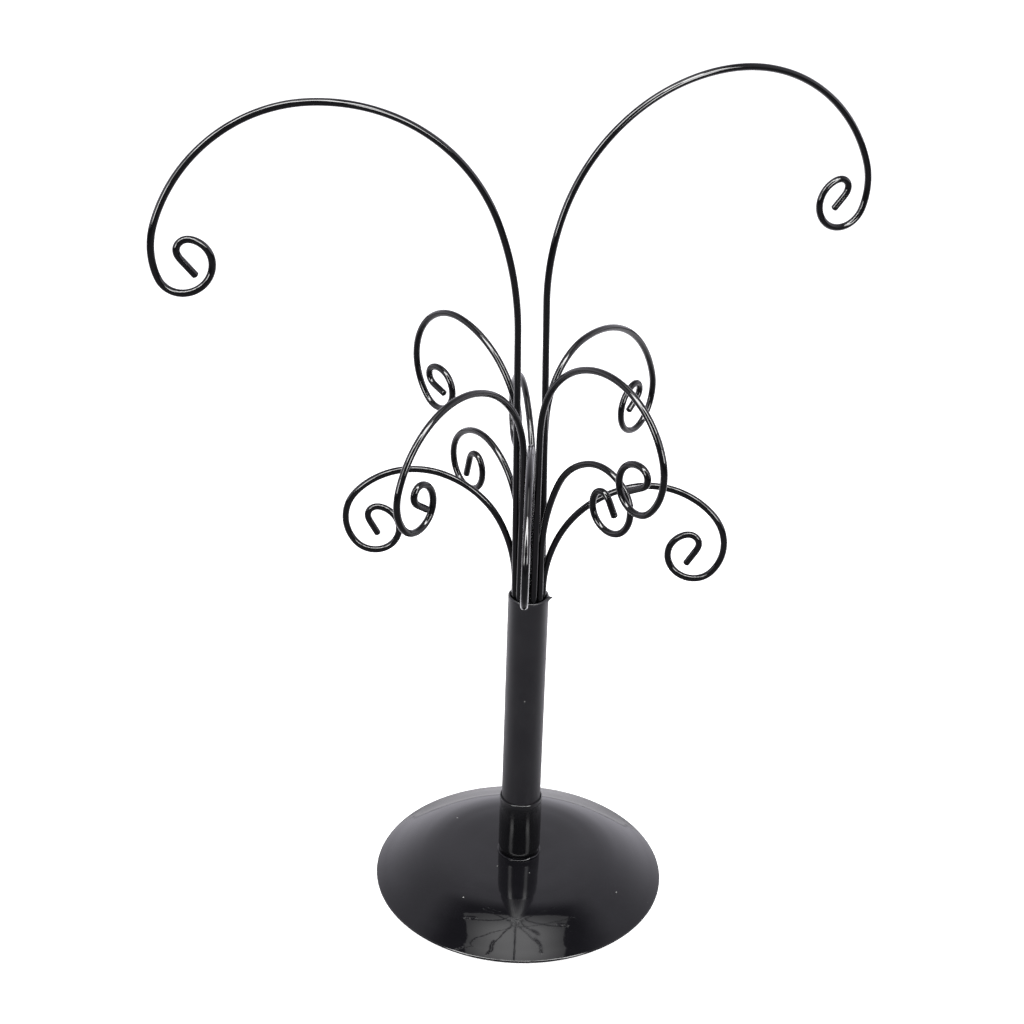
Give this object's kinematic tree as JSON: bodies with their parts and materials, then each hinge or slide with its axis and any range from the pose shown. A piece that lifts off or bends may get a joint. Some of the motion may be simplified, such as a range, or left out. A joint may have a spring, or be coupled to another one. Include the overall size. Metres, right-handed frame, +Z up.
{
  "type": "wire hook tree",
  "caption": "Free-standing wire tree: scrolled wire hooks at several heights, bundled in an upright tube that stands in the socket of a round dished base.",
  "frame": {"origin": "on the upright tube's axis, at the face that the pad stands on", "axes": "+Z up along the upright tube; -Y is the front; +X and -X are the sides that the two tall arms lean to"},
  "size_m": [0.2725, 0.1704, 0.3597],
  "materials": {
    "base_enamel": "high-gloss black enamel",
    "socket_enamel": "high-gloss black enamel",
    "weld_enamel": "high-gloss black enamel over a weld bead",
    "tube_paint": "satin black paint",
    "arm_paint": "gloss black dipped paint",
    "core_steel": "bare drawn steel",
    "stop_nylon": "natural grey nylon",
    "washer_nylon": "natural grey nylon",
    "pad_foam": "matt closed-cell foam"
  },
  "bodies": {
    "base": {"base_dish": "base_enamel", "base_socket": "socket_enamel", "socket_weld": "weld_enamel", "base_pad": "pad_foam"},
    "washer": {"thrust_washer": "washer_nylon"},
    "post": {"upright_tube": "tube_paint", "bundle_core": "core_steel", "bundle_stop": "stop_nylon", "arm_tall_left": "arm_paint", "arm_tall_right": "arm_paint", "arm_mid_back_left": "arm_paint", "arm_mid_back_right": "arm_paint", "arm_mid_front_left": "arm_paint", "arm_mid_front_right": "arm_paint", "arm_low_left": "arm_paint", "arm_low_right": "arm_paint", "arm_low_front": "arm_paint", "arm_low_back": "arm_paint", "arm_low_back_left": "arm_paint", "arm_low_front_right": "arm_paint"}
  },
  "joints": [
    {"name": "post_turn", "type": "hinge", "parent": "base", "child": "washer", "pos_m": [0, 0, 0.0187], "axis": [0, 0, 1], "continuous": true},
    {"name": "post_lift", "type": "slide", "parent": "washer", "child": "post", "axis": [0, 0, 1], "range_m": [0, 0.03]}
  ]
}
